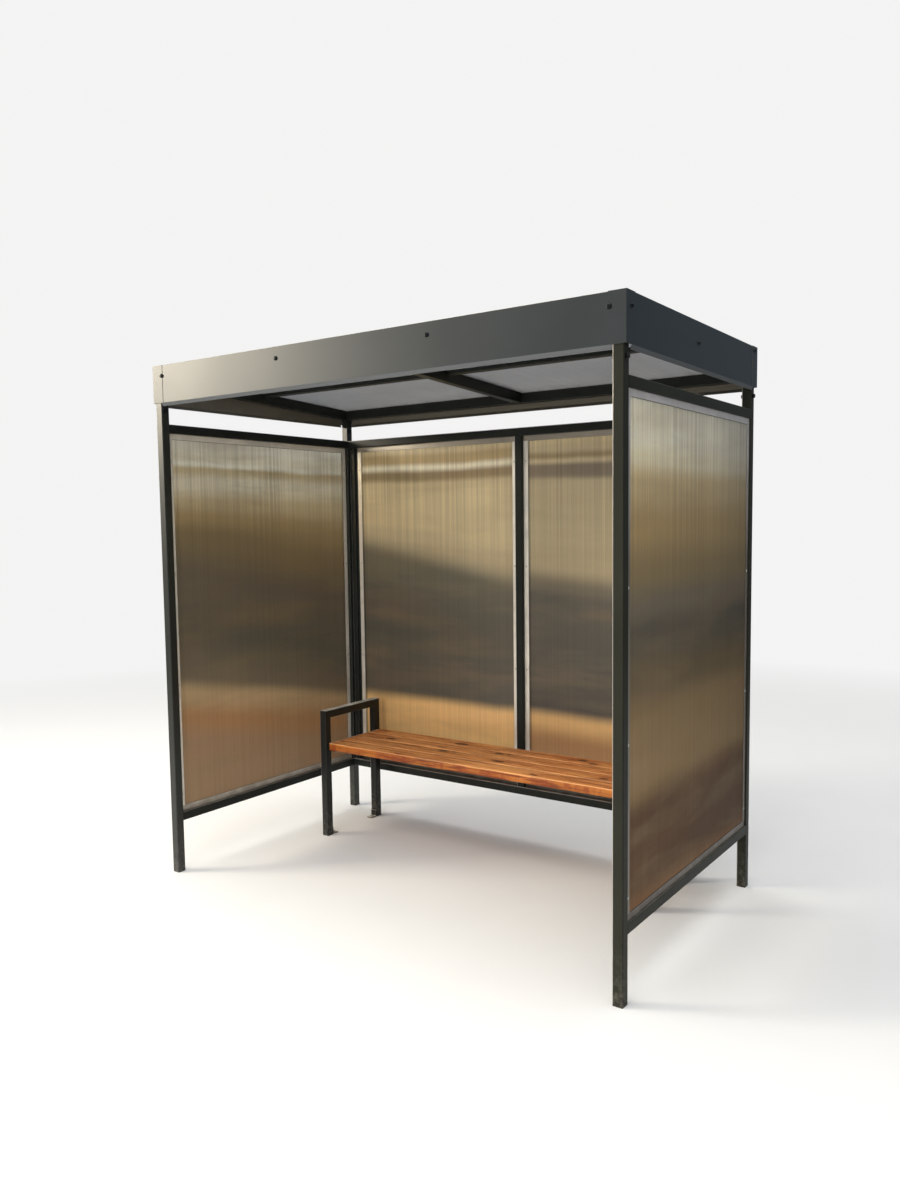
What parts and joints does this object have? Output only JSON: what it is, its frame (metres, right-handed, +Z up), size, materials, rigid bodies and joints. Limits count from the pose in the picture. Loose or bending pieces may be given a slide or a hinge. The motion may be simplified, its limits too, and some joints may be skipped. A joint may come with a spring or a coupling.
{
  "type": "bus shelter",
  "caption": "Open-fronted bus shelter: square-tube steel frame, translucent sheet walls on three sides, flat roof with deep fascia, and a plank bench with armrests.",
  "frame": {"origin": "on the ground under the middle of the shelter's bounding box", "axes": "+Z up, -Y out of the open front, +X towards the right wall as seen from the front"},
  "size_m": [2.3326, 1.3166, 2.343],
  "materials": {
    "frame_paint": "satin powder coat, anthracite, lightly dusty",
    "fascia_paint": "satin powder coat on folded sheet, anthracite",
    "bench_paint": "satin powder coat, anthracite, rubbed at the edges",
    "edging": "mill finish, dulled",
    "wall_sheet": "bronze-tinted translucent fluted sheet",
    "roof_sheet": "opal translucent fluted sheet",
    "dark_fastener": "black screws of the fascia and the posts",
    "zinc_fastener": "zinc-plated anchors and screws of the bench",
    "gasket": "dark sealing strip between sheet and edging",
    "oiled_wood": "softwood with an orange-brown oil stain"
  },
  "bodies": {
    "root": {"bench_anchor_tabs": "bench_paint", "bench_end_left": "bench_paint", "bench_end_right": "bench_paint", "corner_cover_front_left": "fascia_paint", "corner_cover_front_right": "fascia_paint", "corner_cover_rear_left": "fascia_paint", "corner_cover_rear_right": "fascia_paint", "edging_left": "edging", "edging_rear_left": "edging", "edging_rear_right": "edging", "edging_right": "edging", "fascia_front": "fascia_paint", "fascia_left": "fascia_paint", "fascia_rear": "fascia_paint", "fascia_right": "fascia_paint", "fascia_screws": "dark_fastener", "post_front_left": "frame_paint", "post_front_right": "frame_paint", "post_rear_left": "frame_paint", "post_rear_middle": "frame_paint", "post_rear_right": "frame_paint", "rail_left_bottom": "frame_paint", "rail_left_top": "frame_paint", "rail_rear_bottom": "frame_paint", "rail_rear_top": "frame_paint", "rail_right_bottom": "frame_paint", "rail_right_top": "frame_paint", "roof_joint_bar": "edging", "roof_purlins": "frame_paint", "roof_rafter": "frame_paint", "roof_sheet_left": "roof_sheet", "roof_sheet_right": "roof_sheet", "roof_tube_front": "frame_paint", "roof_tube_left": "frame_paint", "roof_tube_rear": "frame_paint", "roof_tube_right": "frame_paint", "seat_angle_left": "bench_paint", "seat_angle_right": "bench_paint", "seat_plank_1": "oiled_wood", "seat_plank_2": "oiled_wood", "seat_plank_3": "oiled_wood", "seat_plank_4": "oiled_wood", "sheet_left": "wall_sheet", "sheet_rear_left": "wall_sheet", "sheet_rear_right": "wall_sheet", "sheet_right": "wall_sheet"}
  },
  "joints": []
}
